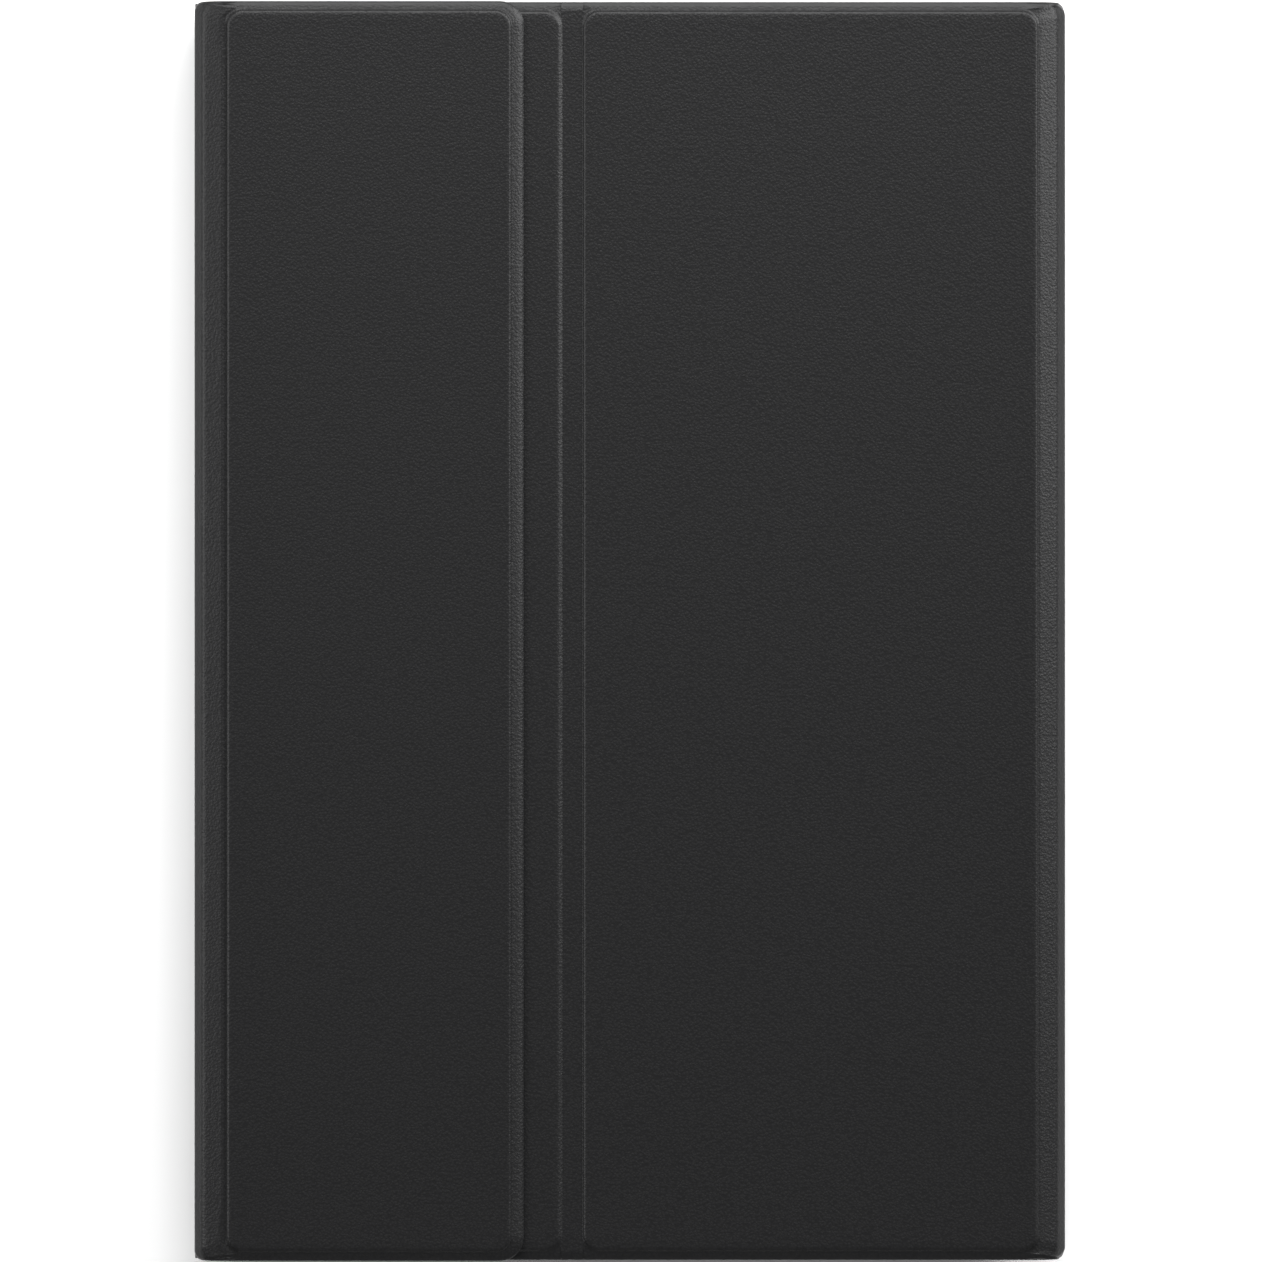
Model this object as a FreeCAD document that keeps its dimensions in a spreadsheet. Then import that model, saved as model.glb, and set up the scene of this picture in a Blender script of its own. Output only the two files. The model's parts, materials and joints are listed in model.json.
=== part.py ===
import FreeCAD, Part
import os
import re
import Sketcher

# Tablet keyboard case, closed and lying flat, in millimetres.
# X runs along the long side, +Y points to the spine and +Z up.
# The origin is on the table under the middle of the case.

sizes = [
    # whole case
    ("overall_length", 255.0, "long side of the closed case"),
    ("overall_depth", 176.9, "spine to free edge"),
    # leather, boards and gaps
    ("skin_thick", 0.6, "outer leather"),
    ("board_thick", 1.2, "stiffening board"),
    ("lining_thick", 0.3, "microfibre lining"),
    ("board_rise", 0.5, "how far a board lifts the leather above its margin"),
    ("end_margin", 2.4, "glued leather past a board at both ends"),
    ("lining_inset", 1.2, "lining kept back from the leather edge"),
    ("board_corner", 3.2, "corner radius over a board"),
    ("rest_gap", 0.2, "air between panels that lie on each other"),
    # flap, gutter and stand panel, all measured from the spine side
    ("flap_board_start", 6.8, "spine to the flap board"),
    ("flap_board_depth", 57.5, "flap board"),
    ("flap_margin", 2.6, "leather past the flap board"),
    ("flap_corner", 4.8, "free corners of the flap"),
    ("gutter_start", 74.3, "spine to the folding gutter"),
    ("gutter_width", 4.7, "folding gutter"),
    ("gutter_drop", 1.1, "gutter leather below the panels beside it"),
    ("stand_board_depth", 92.1, "stand panel board"),
    ("stand_corner", 2.2, "free corners of the stand panel"),
    ("stand_roll", 4.45, "outer radius of the rolled free edge"),
    ("stand_lip", 2.8, "straight part of the free edge below its roll"),
    ("back_panel_hidden", 9.5, "spine to the back panel under the flap"),
    # spine
    ("low_crease_radius", 4.45, "outer radius of the crease at the table"),
    ("high_crease_radius", 5.1, "outer radius of the crease at the flap"),
    ("spine_corner", 1.4, "corners of the case at the spine"),
    ("spine_board_inset", 0.8, "spine board kept back from its creases"),
    # keyboard half
    ("cover_inset", 0.3, "keyboard cover kept inside the case outline, each end"),
    ("cover_front_inset", 1.2, "keyboard cover kept inside the free edge"),
    ("cover_margin", 2.4, "leather past the keyboard cover board"),
    ("tray_inset", 0.4, "keyboard tray inside the cover board"),
    ("tray_wall", 1.6, "tray side wall"),
    ("tray_floor", 0.7, "tray floor"),
    ("tray_room", 3.3, "inside height of the tray"),
    ("tray_corner", 4.0, "tray and deck corner radius"),
    ("deck_thick", 1.0, "keyboard deck"),
    ("lid_gap", 1.0, "deck to the tablet shell"),
    ("bumper_rise", 0.9, "rubber bumpers above the deck"),
    ("bumper_radius", 2.6, "rubber bumper"),
    ("bumper_inset", 4.6, "bumper centre from the deck edges"),
    # keys
    ("key_pitch", 16.2, "one key unit"),
    ("row_pitch", 15.6, "one row of keys"),
    ("function_pitch", 11.0, "the shorter function row"),
    ("key_gap", 1.8, "between neighbouring keys"),
    ("key_clearance", 0.35, "key to the edge of its opening"),
    ("key_stand", 0.8, "keys above the deck"),
    ("key_height", 1.5, "key cap"),
    ("key_rear", 7.5, "deck edge to the function row"),
    ("plate_thick", 0.3, "key support plate"),
    ("membrane_thick", 0.3, "key membrane"),
    ("plate_seat", 1.2, "raised part of the tray floor under the keys"),
    ("dome_radius", 2.6, "rubber dome under a key"),
    # touchpad
    ("touchpad_length", 96.0, "touchpad along the case"),
    ("touchpad_depth", 56.0, "touchpad"),
    ("touchpad_thick", 1.0, "touchpad glass"),
    ("touchpad_clearance", 0.4, "touchpad to its opening"),
    ("touchpad_sink", 0.1, "touchpad below the deck"),
    ("touchpad_front", 11.0, "deck edge to the touchpad"),
    ("touchpad_travel", 0.4, "click"),
    ("sensor_thick", 0.8, "touchpad circuit board"),
    ("sensor_inset", 2.0, "touchpad circuit board inside the glass"),
    ("click_size", 6.0, "click switch"),
    # parts inside the tray
    ("circuit_thick", 0.8, "main circuit board"),
    ("battery_length", 58.0, "battery"),
    ("battery_depth", 44.0, "battery"),
    ("battery_thick", 2.6, "battery"),
    ("port_width", 9.0, "charging socket"),
    ("port_depth", 7.3, "charging socket"),
    ("port_height", 3.1, "charging socket"),
    ("port_metal", 0.3, "charging socket wall"),
    ("port_distance", 20.0, "front deck edge to the charging socket"),
    ("switch_length", 3.2, "power switch knob"),
    ("switch_depth", 2.0, "power switch knob"),
    ("switch_rise", 0.5, "power switch knob above the deck"),
    ("switch_travel", 2.0, "power switch"),
    ("switch_offset", 112.0, "case middle to the power switch"),
    ("light_radius", 0.6, "status light"),
    ("light_pitch", 4.0, "between status lights"),
    ("light_offset", 96.0, "case middle to the first status light"),
    # tablet shell, around a tablet of 247 x 162 x 7
    ("tablet_length", 247.4, "room for the tablet"),
    ("tablet_depth", 162.4, "room for the tablet"),
    ("tablet_thick", 7.0, "room for the tablet"),
    ("tablet_corner", 6.5, "corner radius of the tablet room"),
    ("shell_wall", 1.8, "shell side wall"),
    ("shell_back", 1.2, "shell back"),
    ("lip_thick", 0.6, "lip that holds the tablet"),
    ("lip_reach", 1.2, "lip over the edge of the screen"),
    ("shell_from_spine", 3.95, "outer face of the case to the shell"),
    ("port_slot_length", 14.0, "shell opening for the tablet's plug"),
    ("button_slot_length", 44.0, "shell opening for the tablet's buttons"),
    ("slot_height", 3.8, "shell openings"),
    # magnets
    ("magnet_length", 20.0, "bar magnet"),
    ("magnet_width", 6.0, "bar magnet"),
    ("magnet_pitch", 40.0, "between bar magnets"),
    ("magnet_from_edge", 12.0, "flap board edge to its magnets"),
    ("keeper_thick", 0.7, "steel keeper in the shell"),
]

# One row of keys after another from the front of the case.
# Each key has a width in key units; keys with no name share the row's own solid.
key_rows = [
    (
        "bottom_row_keys",
        [
            ("left_control_key", 1.25),
            ("function_shift_key", 1),
            ("system_key", 1),
            ("left_alternate_key", 1.25),
            ("space_bar", 6.25),
            ("right_alternate_key", 1.25),
            ("left_arrow_key", 1),
            ("down_arrow_key", 1),
            ("right_arrow_key", 1),
        ],
    ),
    (
        "lower_letter_keys",
        [("left_shift_key", 2.25)]
        + [(None, 1)] * 10
        + [("right_shift_key", 1.75), ("up_arrow_key", 1)],
    ),
    (
        "middle_letter_keys",
        [("caps_lock_key", 1.75)] + [(None, 1)] * 11 + [("enter_key", 2.25)],
    ),
    ("upper_letter_keys", [("tab_key", 1.5)] + [(None, 1)] * 12 + [(None, 1.5)]),
    ("number_keys", [(None, 1)] * 13 + [("backspace_key", 2)]),
    ("function_keys", [(None, 1)] * 15),
]
key_units = 15
full_rows = len(key_rows) - 1
flap_magnet_count = 5
stand_magnet_count = 4
light_count = 3

# Heights of the layers above the table, from the bottom up.
cover_top = "skin_thick + board_thick"
tray_top = cover_top + " + tray_floor"
deck_under = tray_top + " + tray_room"
deck_top = deck_under + " + deck_thick"
shell_under = deck_top + " + lid_gap"
tablet_under = shell_under + " + lip_thick"
tablet_top = tablet_under + " + tablet_thick"
shell_top = tablet_top + " + shell_back"
panel_under = shell_top + " + rest_gap"
panel_board = panel_under + " + lining_thick"
panel_top = panel_board + " + board_thick + skin_thick"
flap_under = panel_top + " + rest_gap"
flap_board = flap_under + " + lining_thick"
margin_thick = "skin_thick + board_thick - board_rise"
key_under = deck_top + " + key_stand - key_height"

# Lines across the case, as distances from its middle towards the spine.
spine_line = "overall_depth / 2"
high_crease_line = spine_line + " - high_crease_radius"
low_crease_line = spine_line + " - low_crease_radius"
flap_board_rear = spine_line + " - flap_board_start"
flap_board_front = flap_board_rear + " - flap_board_depth"
flap_edge = flap_board_front + " - flap_margin"
gutter_rear = spine_line + " - gutter_start"
gutter_front = gutter_rear + " - gutter_width"
stand_board_front = gutter_front + " - stand_board_depth"
stand_roll_line = "stand_roll - overall_depth / 2"
free_edge = "-overall_depth / 2"
shell_rear = spine_line + " - shell_from_spine"
shell_front = shell_rear + " - tablet_depth - 2 * shell_wall"
cover_front = "cover_front_inset - overall_depth / 2"
cover_board_front = cover_front + " + cover_margin"
cover_board_rear = flap_board_rear

# Lines along the case, as the low end of something centred on the middle.
case_end = "-overall_length / 2"
board_end = case_end + " + end_margin"
cover_end = case_end + " + cover_inset"
cover_board_end = board_end + " + cover_inset"
deck_end = cover_board_end + " + tray_inset"
shell_end = "-tablet_length / 2 - shell_wall"
deck_front = cover_board_front + " + tray_inset"
deck_rear = cover_board_rear + " - tray_inset"

# The block of keys, from its own front corner.
keys_end = str(-key_units / 2) + " * key_pitch"
keys_depth = str(full_rows) + " * row_pitch + function_pitch"
keys_front = deck_rear + " - key_rear - (" + keys_depth + ")"

doc = FreeCAD.newDocument("TabletKeyboardCase")
sheet = doc.addObject("Spreadsheet::Sheet", "Sizes")
finished = []


def fill_sheet():
    for row, (name, value, note) in enumerate(sizes, 1):
        sheet.set("A%d" % row, name)
        sheet.set("B%d" % row, str(value))
        sheet.setAlias("B%d" % row, name)
        sheet.set("C%d" % row, note)
    doc.recompute()


def from_sheet(formula):
    """The formula with every size name pointed at its cell."""
    return re.sub(r"[a-z]\w*", lambda name: "Sizes." + name.group(), formula)


def bind(item, **formulas):
    for name, formula in formulas.items():
        item.setExpression(name, from_sheet(formula))


def place(item, x, y, z):
    for axis, formula in zip("xyz", (x, y, z)):
        item.setExpression("Placement.Base." + axis, from_sheet(formula))


def across(low, high):
    """The distance between two lines."""
    return high + " - (" + low + ")"


def twice(low):
    """The full width of something whose low end is given from the middle."""
    return "-2 * (" + low + ")"


# ---- building blocks -------------------------------------------------------


def new_body(label, x, y, z):
    body = doc.addObject("PartDesign::Body", label)
    body.Label = label
    body.AllowCompound = True
    place(body, x, y, z)
    return body


def new_sketch(body):
    """A sketch on the body's own ground plane."""
    planes = [p for p in body.Origin.OriginFeatures if p.Role == "XY_Plane"]
    sketch = body.newObject("Sketcher::SketchObject", body.Name + "_sketch")
    sketch.AttachmentSupport = (planes[0], [""])
    sketch.MapMode = "FlatFace"
    return sketch


def dimension(kind, formula, *where):
    """A driving dimension with its formula; a formula of 0 is a tie to the axis."""
    if formula == "0":
        axis = -2 if kind == "DistanceX" else -1
        return Sketcher.Constraint("PointOnObject", *where, axis), None
    return Sketcher.Constraint(kind, *where, 1.0), formula


def rectangle(sketch, x, y, length, depth):
    """Draws four sides and returns what holds them, as constraints with formulas."""
    first = sketch.GeometryCount
    corners = [(1, 1), (2, 1), (2, 2), (1, 2)]
    points = [FreeCAD.Vector(a, b, 0) for a, b in corners]
    held = []
    for side in range(4):
        after = (side + 1) % 4
        sketch.addGeometry(Part.LineSegment(points[side], points[after]), False)
        corner = Sketcher.Constraint("Coincident", first + side, 2, first + after, 1)
        direction = "Vertical" if side % 2 else "Horizontal"
        held.append((corner, None))
        held.append((Sketcher.Constraint(direction, first + side), None))
    held.append(dimension("DistanceX", x, first, 1))
    held.append(dimension("DistanceY", y, first, 1))
    held.append(dimension("DistanceX", length, first, 1, first, 2))
    held.append(dimension("DistanceY", depth, first + 1, 1, first + 1, 2))
    return held


def circle(sketch, x, y, radius):
    shape = Part.Circle(FreeCAD.Vector(1, 1, 0), FreeCAD.Vector(0, 0, 1), 1)
    number = sketch.addGeometry(shape, False)
    return [
        dimension("DistanceX", x, number, 3),
        dimension("DistanceY", y, number, 3),
        dimension("Radius", radius, number),
    ]


def draw(body, shapes, outline=rectangle):
    """A sketch holding every shape, each given by its formulas."""
    sketch = new_sketch(body)
    held = []
    for shape in shapes:
        held += outline(sketch, *shape)
    sketch.addConstraint([constraint for constraint, formula in held])
    for number, (constraint, formula) in enumerate(held):
        if formula:
            sketch.setExpression("Constraints[%d]" % number, from_sheet(formula))
    return sketch


def pad(body, sketch, height, taper=0):
    solid = body.newObject("PartDesign::Pad", body.Name + "_pad")
    solid.Profile = sketch
    bind(solid, Length=height)
    solid.TaperAngle = taper
    sketch.Visibility = False
    body.Tip = solid
    doc.recompute()
    return solid


def round_corners(body, solid, radius, corners):
    """Rounds the upright edges of a plate: all, or those at its front or rear."""
    middle = solid.Shape.BoundBox.Center.y
    chosen = []
    for number, edge in enumerate(solid.Shape.Edges, 1):
        low, high = edge.Vertexes[0].Point, edge.Vertexes[-1].Point
        upright = abs(high.x - low.x) + abs(high.y - low.y) < 1e-6
        at_front = low.y < middle
        wanted = corners == "all" or (corners == "front") == at_front
        if upright and wanted:
            chosen.append("Edge%d" % number)
    fillet = body.newObject("PartDesign::Fillet", body.Name + "_corners")
    fillet.Base = (solid, chosen)
    bind(fillet, Radius=radius)
    body.Tip = fillet


def plate(label, ends, fronts, heights, radius=None, corners="all"):
    """A flat plate between two lines each way, with rounded upright corners."""
    body = new_body(label, ends[0], fronts[0], heights[0])
    sketch = draw(body, [("0", "0", across(*ends), across(*fronts))])
    solid = pad(body, sketch, across(*heights))
    if radius:
        round_corners(body, solid, radius, corners)
    return body


def centred(low):
    """The two ends of something centred on the middle of the case."""
    return low, "-(" + low + ")"


def rectangles(label, corner, items, height, taper=0):
    """Separate blocks of one height; each item is x, y, length and depth."""
    body = new_body(label, *corner)
    pad(body, draw(body, items), height, taper)
    return body


def box(label, ends, fronts, heights):
    item = doc.addObject("Part::Box", label)
    item.Label = label
    bind(item, Length=across(*ends), Width=across(*fronts), Height=across(*heights))
    place(item, ends[0], fronts[0], heights[0])
    return item


def disc(label, x, y, z, radius, height):
    item = doc.addObject("Part::Cylinder", label)
    item.Label = label
    bind(item, Radius=radius, Height=height)
    place(item, x, y, z)
    return item


def cut(label, base, tool):
    item = doc.addObject("Part::Cut", label)
    item.Label = label
    item.Base = base
    item.Tool = tool
    return item


def join(label, pieces):
    item = doc.addObject("Part::MultiFuse", label)
    item.Label = label
    item.Shapes = pieces
    return item


def common(label, pieces):
    item = doc.addObject("Part::MultiCommon", label)
    item.Label = label
    item.Shapes = pieces
    return item


def group(label, pieces):
    item = doc.addObject("Part::Compound", label)
    item.Label = label
    item.Links = pieces
    return item


def quarter_ring(label, end, y, z, outer, thick, turn):
    """A quarter of a tube along the case; turn brings it to the right quarter."""
    rods = []
    for name, radius in (("outer", outer), ("inner", outer + " - (" + thick + ")")):
        rod = doc.addObject("Part::Cylinder", label + "_" + name)
        rod.Angle = 90
        rod.Placement = FreeCAD.Placement(FreeCAD.Vector(), turn)
        bind(rod, Radius=radius, Height=twice(end))
        place(rod, end, y, z)
        rods.append(rod)
    return cut(label, rods[0], rods[1])


def finish(item):
    """Marks an object as one piece of the case."""
    finished.append(item)
    return item


rear_high = FreeCAD.Rotation(FreeCAD.Vector(1, 1, 1), 120)
rear_low = FreeCAD.Rotation(FreeCAD.Vector(0, 1, 0), 90)
front_high = FreeCAD.Rotation(FreeCAD.Vector(1, 0, 1), 180)


# ---- leather panels --------------------------------------------------------


def covered_board(name, end, fronts, board_lines, levels, corner, corners):
    """Leather sheet raised over a board; returns the sheet and the board blank.

    levels are the undersides of the margin, of the raised part and of the board.
    """
    margin_low, raised_low, board_low = levels
    margin = plate(
        name + "_margin",
        centred(end),
        fronts,
        (margin_low, margin_low + " + " + margin_thick),
        corner,
        corners,
    )
    raised_end = end + " + end_margin"
    raised = plate(
        name + "_raised",
        centred(raised_end),
        board_lines,
        (raised_low, raised_low + " + board_thick + skin_thick"),
        "board_corner",
    )
    blank = plate(
        name + "_blank",
        centred(raised_end + " + skin_thick"),
        (board_lines[0] + " + skin_thick", board_lines[1] + " - skin_thick"),
        (board_low, board_low + " + board_thick"),
        "board_corner - skin_thick",
    )
    sheet_of_leather = join(name + "_leather", [margin, raised])
    return sheet_of_leather, blank


def magnet_row(label, count, y, z, thick):
    """Bar magnets in a line along the case."""
    first = "-%r * magnet_pitch - magnet_length / 2" % ((count - 1) / 2)
    items = []
    for number in range(count):
        x = "%d * magnet_pitch" % number if number else "0"
        items.append((x, "0", "magnet_length", "magnet_width"))
    return rectangles(label, (first, y, z), items, thick)


def make_flap():
    leather, blank = covered_board(
        "flap",
        case_end,
        (flap_edge, high_crease_line),
        (flap_board_front, flap_board_rear),
        (flap_board, flap_board, flap_board),
        "flap_corner",
        "front",
    )
    magnet_line = flap_board_front + " + magnet_from_edge"
    magnets = magnet_row(
        "flap_magnets", flap_magnet_count, magnet_line, flap_board, "board_thick"
    )
    finish(cut("flap_skin", leather, blank))
    finish(cut("flap_board", blank, magnets))
    finish(magnets)
    lining = plate(
        "flap_lining",
        centred(case_end + " + lining_inset"),
        (flap_edge + " + lining_inset", high_crease_line + " - lining_inset"),
        (flap_under, flap_board),
        "flap_corner - lining_inset",
        "front",
    )
    finish(lining)


def make_back_panel():
    rear = spine_line + " - back_panel_hidden"
    leather, blank = covered_board(
        "back_panel",
        case_end,
        (gutter_rear, rear + " + end_margin"),
        (gutter_rear, rear),
        (panel_board, panel_board, panel_board),
        None,
        None,
    )
    keeper_line = flap_board_front + " + magnet_from_edge"
    keepers = magnet_row(
        "back_panel_keepers", flap_magnet_count, keeper_line, panel_board, "board_thick"
    )
    finish(cut("back_panel_skin", leather, blank))
    finish(cut("back_panel_board", blank, keepers))
    finish(keepers)
    adhesive = plate(
        "back_panel_adhesive",
        centred(board_end + " + lining_inset"),
        (gutter_rear + " + lining_inset", rear),
        (shell_top, panel_board),
        "board_corner",
    )
    finish(adhesive)


def make_stand():
    leather, blank = covered_board(
        "stand",
        case_end,
        (stand_roll_line, gutter_front),
        (stand_board_front, gutter_front),
        (panel_board, panel_board, panel_board),
        None,
        None,
    )
    roll_height = panel_board + " + " + margin_thick + " - stand_roll"
    roll = quarter_ring(
        "stand_rolled_edge",
        case_end,
        stand_roll_line,
        roll_height,
        "stand_roll",
        margin_thick,
        front_high,
    )
    lip = box(
        "stand_edge_lip",
        centred(case_end),
        (free_edge, free_edge + " + " + margin_thick),
        (roll_height + " - stand_lip", roll_height),
    )
    outline = plate(
        "stand_outline",
        centred(case_end),
        (free_edge, gutter_front),
        (roll_height + " - stand_lip", panel_top),
        "stand_corner",
        "front",
    )
    whole = join("stand_leather_and_edge", [leather, roll, lip])
    trimmed = common("stand_trimmed_leather", [whole, outline])
    magnet_line = stand_board_front + " + magnet_from_edge"
    magnets = magnet_row(
        "stand_magnets", stand_magnet_count, magnet_line, panel_board, "board_thick"
    )
    finish(cut("stand_skin", trimmed, blank))
    finish(cut("stand_board", blank, magnets))
    finish(magnets)
    lining = plate(
        "stand_lining",
        centred(case_end + " + lining_inset"),
        (stand_roll_line, gutter_front + " - lining_inset"),
        (panel_under, panel_board),
        "stand_corner",
        "front",
    )
    finish(lining)


def make_creases():
    """The leather that bends: two creases of the spine and the stand's gutter."""
    low = quarter_ring(
        "base_crease_leather",
        cover_end,
        low_crease_line,
        "board_rise + low_crease_radius",
        "low_crease_radius",
        margin_thick,
        rear_low,
    )
    finish(low)
    crease_height = flap_board + " + " + margin_thick + " - high_crease_radius"
    ring = quarter_ring(
        "top_crease_ring",
        case_end,
        high_crease_line,
        crease_height,
        "high_crease_radius",
        margin_thick,
        rear_high,
    )
    outline = plate(
        "top_crease_outline",
        centred(case_end),
        (high_crease_line, spine_line),
        (crease_height, crease_height + " + high_crease_radius"),
        "spine_corner",
        "rear",
    )
    finish(common("top_crease_leather", [ring, outline]))
    gutter_top = panel_top + " - gutter_drop"
    gutter = box(
        "stand_crease_leather",
        centred(case_end),
        (gutter_front, gutter_rear),
        (gutter_top + " - skin_thick - lining_thick", gutter_top),
    )
    finish(gutter)


def make_spine():
    low = "board_rise + low_crease_radius"
    high = flap_board + " + " + margin_thick + " - high_crease_radius"
    inner = spine_line + " - (" + margin_thick + ")"
    wall = box("spine_leather", centred(case_end), (inner, spine_line), (low, high))
    board = box(
        "spine_board",
        centred(case_end + " + end_margin"),
        (inner, spine_line + " - skin_thick"),
        (low + " + spine_board_inset", high + " - spine_board_inset"),
    )
    finish(cut("spine_skin", wall, board))
    finish(board)
    lining = box(
        "spine_lining",
        centred(case_end + " + lining_inset"),
        (inner + " - lining_thick", inner),
        (low + " + lining_thick", high + " - lining_thick"),
    )
    finish(lining)


# ---- keyboard half ---------------------------------------------------------


def key_places():
    """Every key as its solid's name, row number, start and width in key units."""
    for row, (row_name, keys) in enumerate(key_rows):
        start = 0
        for name, width in keys:
            yield name or row_name, row, start, width
            start += width


def key_rectangle(row, start, width, spare):
    """One key on the key block, larger all round by the spare formula."""
    depth = "function_pitch" if row == full_rows else "row_pitch"
    return (
        "%r * key_pitch + key_gap / 2 - (%s)" % (start, spare),
        "%d * row_pitch + key_gap / 2 - (%s)" % (row, spare),
        "%r * key_pitch - key_gap + 2 * (%s)" % (width, spare),
        depth + " - key_gap + 2 * (%s)" % spare,
    )


def make_keys():
    shared = {}
    for name, row, start, width in key_places():
        shared.setdefault(name, []).append(key_rectangle(row, start, width, "0"))
    for name, items in shared.items():
        corner = (keys_end, keys_front, key_under)
        finish(rectangles(name, corner, items, "key_height", taper=-10))


def make_key_domes(low):
    domes = new_body("key_domes", keys_end, keys_front, low)
    places = []
    for name, row, start, width in key_places():
        depth = "function_pitch" if row == full_rows else "row_pitch"
        x = "%r * key_pitch" % (start + width / 2)
        y = "%d * row_pitch + %s / 2" % (row, depth)
        places.append((x, y, "dome_radius"))
    pad(domes, draw(domes, places, circle), across(low, key_under), taper=-20)
    finish(domes)


def make_cover():
    leather, blank = covered_board(
        "keyboard_cover",
        cover_end,
        (cover_front, low_crease_line),
        (cover_board_front, cover_board_rear),
        ("board_rise", "0", "skin_thick"),
        "stand_corner",
        "front",
    )
    finish(cut("keyboard_cover_skin", leather, blank))
    blank.Label = "keyboard_cover_board"
    finish(blank)


def key_seat(label, low, high, spare):
    """A sheet under the whole block of keys."""
    return box(
        label,
        centred(keys_end + " - " + spare),
        (keys_front + " - " + spare, keys_front + " + " + keys_depth + " + " + spare),
        (low, high),
    )


def make_tray():
    outline = centred(deck_end), (deck_front, deck_rear)
    block = plate("tray_block", *outline, (cover_top, deck_under), "tray_corner")
    room = plate(
        "tray_room",
        centred(deck_end + " + tray_wall"),
        (deck_front + " + tray_wall", deck_rear + " - tray_wall"),
        (tray_top, deck_under),
        "tray_corner - tray_wall",
    )
    seat_top = tray_top + " + plate_seat"
    seat = key_seat("tray_key_seat", tray_top, seat_top, "1")
    open_tray = join("tray_with_seat", [cut("tray_open", block, room), seat])
    port_hole = box(
        "tray_port_hole",
        ("-(" + deck_end + ") - tray_wall", "-(" + deck_end + ")"),
        port_lines(),
        (tray_top + " + 0.1", tray_top + " + 0.1 + port_height"),
    )
    finish(cut("keyboard_tray", open_tray, port_hole))
    plate_top = seat_top + " + plate_thick"
    membrane_top = plate_top + " + membrane_thick"
    finish(key_seat("key_plate", seat_top, plate_top, "0.5"))
    finish(key_seat("key_membrane", plate_top, membrane_top, "0.5"))
    make_key_domes(membrane_top)


def port_lines():
    """The two sides of the charging socket."""
    front = deck_front + " + port_distance"
    return front, front + " + port_width"


def touchpad_lines(spare):
    """Ends and sides of the touchpad, larger all round by the spare formula."""
    front = deck_front + " + touchpad_front - " + spare
    rear = deck_front + " + touchpad_front + touchpad_depth + " + spare
    return centred("-touchpad_length / 2 - " + spare), (front, rear)


def switch_corner():
    """The power switch knob's low corner, in the strip behind the keys."""
    return "-switch_offset", deck_rear + " - key_rear / 2 - switch_depth / 2"


def light_places():
    for number in range(light_count):
        yield "light_offset + %d * light_pitch" % number, deck_rear + " - key_rear / 2"


def bumper_places():
    rear_low_front = (deck_front + " + bumper_inset", deck_rear + " - bumper_inset")
    for y in rear_low_front:
        for x in (deck_end + " + bumper_inset", "-(" + deck_end + " + bumper_inset)"):
            yield x, y


def make_deck():
    outline = centred(deck_end), (deck_front, deck_rear)
    block = plate("deck_block", *outline, (deck_under, deck_top), "tray_corner")
    corner = (keys_end, keys_front, deck_under)
    row_holes = []
    for row, (row_name, keys) in enumerate(key_rows):
        places = [
            key_rectangle(*key[1:], "key_clearance") for key in key_places() if key[1] == row
        ]
        row_holes.append(rectangles("deck_holes_" + row_name, corner, places, "deck_thick"))
    pad_hole = plate(
        "deck_touchpad_hole",
        *touchpad_lines("touchpad_clearance"),
        (deck_under, deck_top),
        "1.5 + touchpad_clearance",
    )
    knob_x, knob_y = switch_corner()
    slot = box(
        "deck_switch_slot",
        (knob_x + " - 0.3", knob_x + " + switch_length + switch_travel + 0.3"),
        (knob_y + " - 0.2", knob_y + " + switch_depth + 0.2"),
        (deck_under, deck_top),
    )
    lights = []
    for number, (x, y) in enumerate(light_places(), 1):
        name = "light_%d" % number
        lights.append(disc(name, x, y, deck_under, "light_radius", "deck_thick"))
    windows = group("status_lights", lights)
    holes = group("deck_holes", row_holes + [pad_hole, slot, windows])
    finish(cut("keyboard_deck", block, holes))
    finish(windows)
    bumpers = []
    for number, (x, y) in enumerate(bumper_places(), 1):
        name = "bumper_%d" % number
        bumpers.append(disc(name, x, y, deck_top, "bumper_radius", "bumper_rise"))
    finish(group("screen_bumpers", bumpers))


def make_touchpad():
    glass_top = deck_top + " - touchpad_sink"
    glass_under = glass_top + " - touchpad_thick"
    sensor_under = glass_under + " - sensor_thick"
    glass = plate(
        "touchpad_glass", *touchpad_lines("0"), (glass_under, glass_top), "1.5"
    )
    finish(glass)
    finish(
        box("touchpad_circuit", *touchpad_lines("-sensor_inset"), (sensor_under, glass_under))
    )
    front = deck_front + " + touchpad_front + 6"
    click = box(
        "touchpad_click_switch",
        centred("-click_size / 2"),
        (front, front + " + click_size"),
        (tray_top, sensor_under + " - touchpad_travel - 0.1"),
    )
    finish(click)


def make_power_switch():
    x, y = switch_corner()
    knob = box(
        "switch_knob",
        (x, x + " + switch_length"),
        (y, y + " + switch_depth"),
        (deck_under + " - 0.8", deck_top + " + switch_rise"),
    )
    foot = box(
        "switch_foot",
        (x + " - 1", x + " + switch_length + 1"),
        (y + " - 0.8", y + " + switch_depth + 0.8"),
        (deck_under + " - 0.9", deck_under + " - 0.3"),
    )
    finish(join("power_switch_slider", [knob, foot]))


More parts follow.
